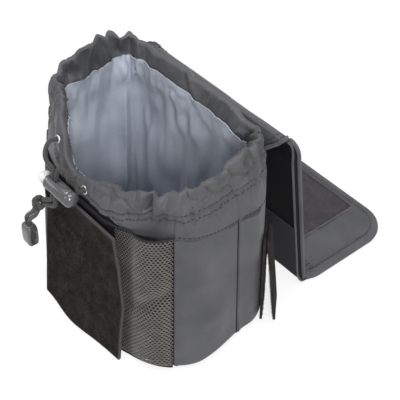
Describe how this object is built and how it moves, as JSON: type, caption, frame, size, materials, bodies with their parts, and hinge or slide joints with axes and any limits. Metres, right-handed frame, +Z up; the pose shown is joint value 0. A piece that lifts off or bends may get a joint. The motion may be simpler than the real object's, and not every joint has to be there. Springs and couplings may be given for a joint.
{
  "type": "lens pouch",
  "caption": "Padded soft pouch with a drawstring collar and cord lock, a mesh front pocket with a loop panel, a fold-over hook lid and fold-out belt tabs.",
  "frame": {"origin": "centre of the base's outline, on the floor under the base", "axes": "+Z up out of the mouth, -Y towards the front with the mesh pocket, +X to the right as seen from the front"},
  "size_m": [0.1874, 0.2605, 0.166],
  "materials": {
    "nylon": "coated nylon weave",
    "padding": "closed-cell foam",
    "lining": "smooth pale lining",
    "mesh": "stretch mesh",
    "pile": "soft loop pile",
    "hooks": "rows of small hooks",
    "tape": "woven tape",
    "board": "flexible sheet",
    "cord": "round braid",
    "moulding": "smooth grey moulding",
    "pale_moulding": "smooth pale moulding",
    "nickel": "bright nickel"
  },
  "bodies": {
    "pouch": {"front_panel": "nylon", "right_side_panel": "nylon", "right_rear_gusset": "nylon", "back_panel": "nylon", "left_rear_gusset": "nylon", "left_side_panel": "nylon", "front_foam": "padding", "right_foam": "padding", "back_foam": "padding", "left_foam": "padding", "wall_lining": "lining", "base_panel": "nylon", "base_foam": "padding", "base_lining": "lining", "collar": "nylon", "left_eyelet": "nickel", "right_eyelet": "nickel", "drawcord": "cord", "left_cord": "cord", "left_cord_tail": "cord", "right_cord": "cord", "right_cord_tail": "cord", "cord_knot": "cord", "cord_end": "moulding", "mesh_pocket": "mesh", "pocket_elastic": "tape", "loop_panel": "pile", "lid_riser": "nylon", "right_belt_tab_loop": "pile", "left_belt_tab_loop": "pile"},
    "lid_strip": {"lid_strip": "nylon"},
    "lid": {"lid_stiffener": "board", "lid_outer": "nylon", "lid_lining": "nylon", "lid_ribbed_band": "tape", "lid_right_binding": "tape", "lid_left_binding": "tape"},
    "tongue": {"tongue_outer": "nylon", "tongue_stiffener": "board", "tongue_lining": "nylon", "tongue_binding": "tape", "hook_panel": "hooks"},
    "right_belt_tab": {"right_belt_tab_hook": "hooks"},
    "left_belt_tab": {"left_belt_tab_hook": "hooks"},
    "cord_lock": {"cord_lock_barrel": "moulding", "cord_lock_cap": "moulding", "cord_lock_spring": "nickel"},
    "lock_plunger": {"cord_lock_plunger": "pale_moulding"}
  },
  "joints": [
    {"name": "lid_strip_fold", "type": "hinge", "parent": "pouch", "child": "lid_strip", "pos_m": [0, 0.064, 0.157], "axis": [1, 0, 0], "range_deg": [0, 156]},
    {"name": "lid_fold", "type": "hinge", "parent": "lid_strip", "child": "lid", "pos_m": [0, 0.079, 0.131], "axis": [1, 0, 0], "range_deg": [0, 108]},
    {"name": "tongue_fold", "type": "hinge", "parent": "lid", "child": "tongue", "pos_m": [0, 0.094, 0.0024], "axis": [1, 0, 0], "range_deg": [-80, 2]},
    {"name": "right_tab_fold", "type": "hinge", "parent": "pouch", "child": "right_belt_tab", "pos_m": [0.07829, 0.05256, 0.084], "axis": [0.6947, -0.7193, 0], "range_deg": [-5, 110]},
    {"name": "left_tab_fold", "type": "hinge", "parent": "pouch", "child": "left_belt_tab", "pos_m": [-0.07829, 0.05256, 0.084], "axis": [0.6947, 0.7193, 0], "range_deg": [-5, 110]},
    {"name": "cord_lock_slide", "type": "slide", "parent": "pouch", "child": "cord_lock", "axis": [0, -0.1564, -0.9877], "range_m": [0, 0.005]},
    {"name": "plunger_press", "type": "slide", "parent": "cord_lock", "child": "lock_plunger", "axis": [1, 0, 0], "range_m": [0, 0.004], "stiffness_N_per_m": 300, "deforming": ["cord_lock_spring"]}
  ],
  "couplings": [
    {"joint": "lid_strip_fold", "follows": "lid_fold", "ratio": 1.4444}
  ]
}
